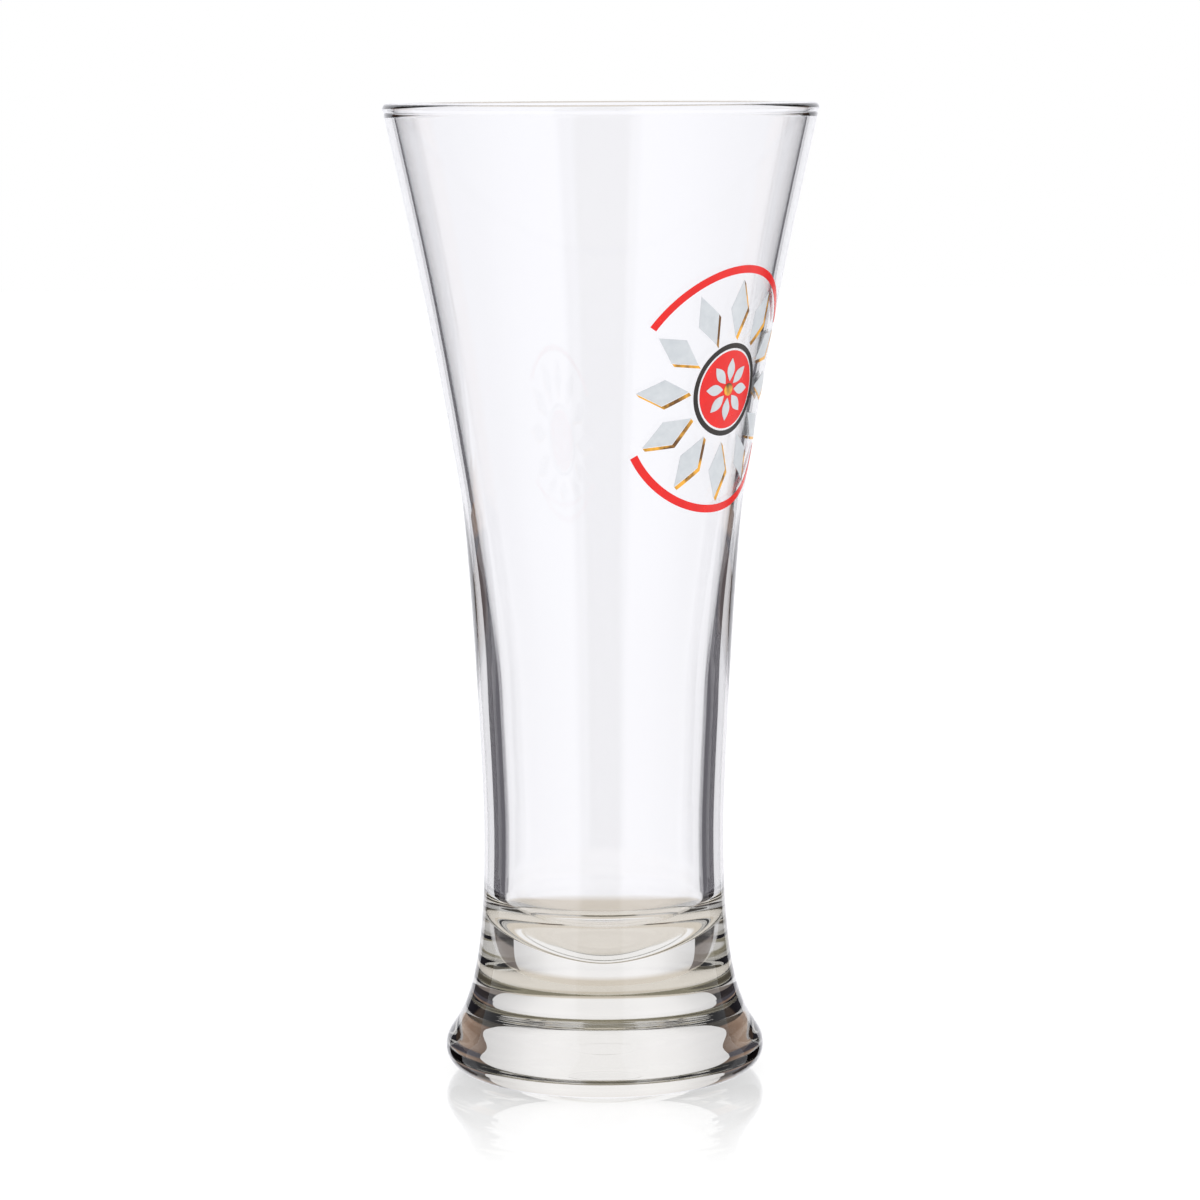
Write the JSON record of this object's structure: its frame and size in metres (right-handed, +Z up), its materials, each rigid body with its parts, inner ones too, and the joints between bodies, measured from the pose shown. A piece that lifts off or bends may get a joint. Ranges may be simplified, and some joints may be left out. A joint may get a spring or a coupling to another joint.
{
  "type": "beer glass",
  "caption": "Tall flared beer glass with a heavy solid foot, a beaded rim and a fired enamel medallion on one side of the bowl.",
  "frame": {"origin": "centre of the standing ring, on the surface that the glass stands on", "axes": "+Z up along the glass's axis of turning, -Y is the front that the picture shows, and the medallion faces front and right"},
  "size_m": [0.0844, 0.0844, 0.19],
  "materials": {
    "clear_glass": "clear pressed soda-lime glass, fire polished",
    "red_enamel": "fired red ceramic enamel, glossy",
    "white_enamel": "fired grey-white ceramic enamel, satin gloss",
    "gold_enamel": "fired gold-yellow ceramic enamel, satin gloss",
    "dark_enamel": "fired brown-black ceramic enamel, glossy"
  },
  "bodies": {
    "root": {"glass_body": "clear_glass", "red_disc": "red_enamel", "dark_ring": "dark_enamel", "gold_centre": "gold_enamel", "white_petal_1": "white_enamel", "white_petal_2": "white_enamel", "white_petal_3": "white_enamel", "white_petal_4": "white_enamel", "white_petal_5": "white_enamel", "white_petal_6": "white_enamel", "white_petal_7": "white_enamel", "white_petal_8": "white_enamel", "white_ray_01": "white_enamel", "gold_shade_01": "gold_enamel", "white_ray_02": "white_enamel", "gold_shade_02": "gold_enamel", "white_ray_03": "white_enamel", "gold_shade_03": "gold_enamel", "white_ray_04": "white_enamel", "gold_shade_04": "gold_enamel", "white_ray_05": "white_enamel", "gold_shade_05": "gold_enamel", "white_ray_06": "white_enamel", "gold_shade_06": "gold_enamel", "white_ray_07": "white_enamel", "gold_shade_07": "gold_enamel", "white_ray_08": "white_enamel", "gold_shade_08": "gold_enamel", "white_ray_09": "white_enamel", "gold_shade_09": "gold_enamel", "white_ray_10": "white_enamel", "gold_shade_10": "gold_enamel", "white_ray_11": "white_enamel", "gold_shade_11": "gold_enamel", "white_ray_12": "white_enamel", "gold_shade_12": "gold_enamel", "red_arc_upper": "red_enamel", "red_arc_lower": "red_enamel"}
  },
  "joints": []
}
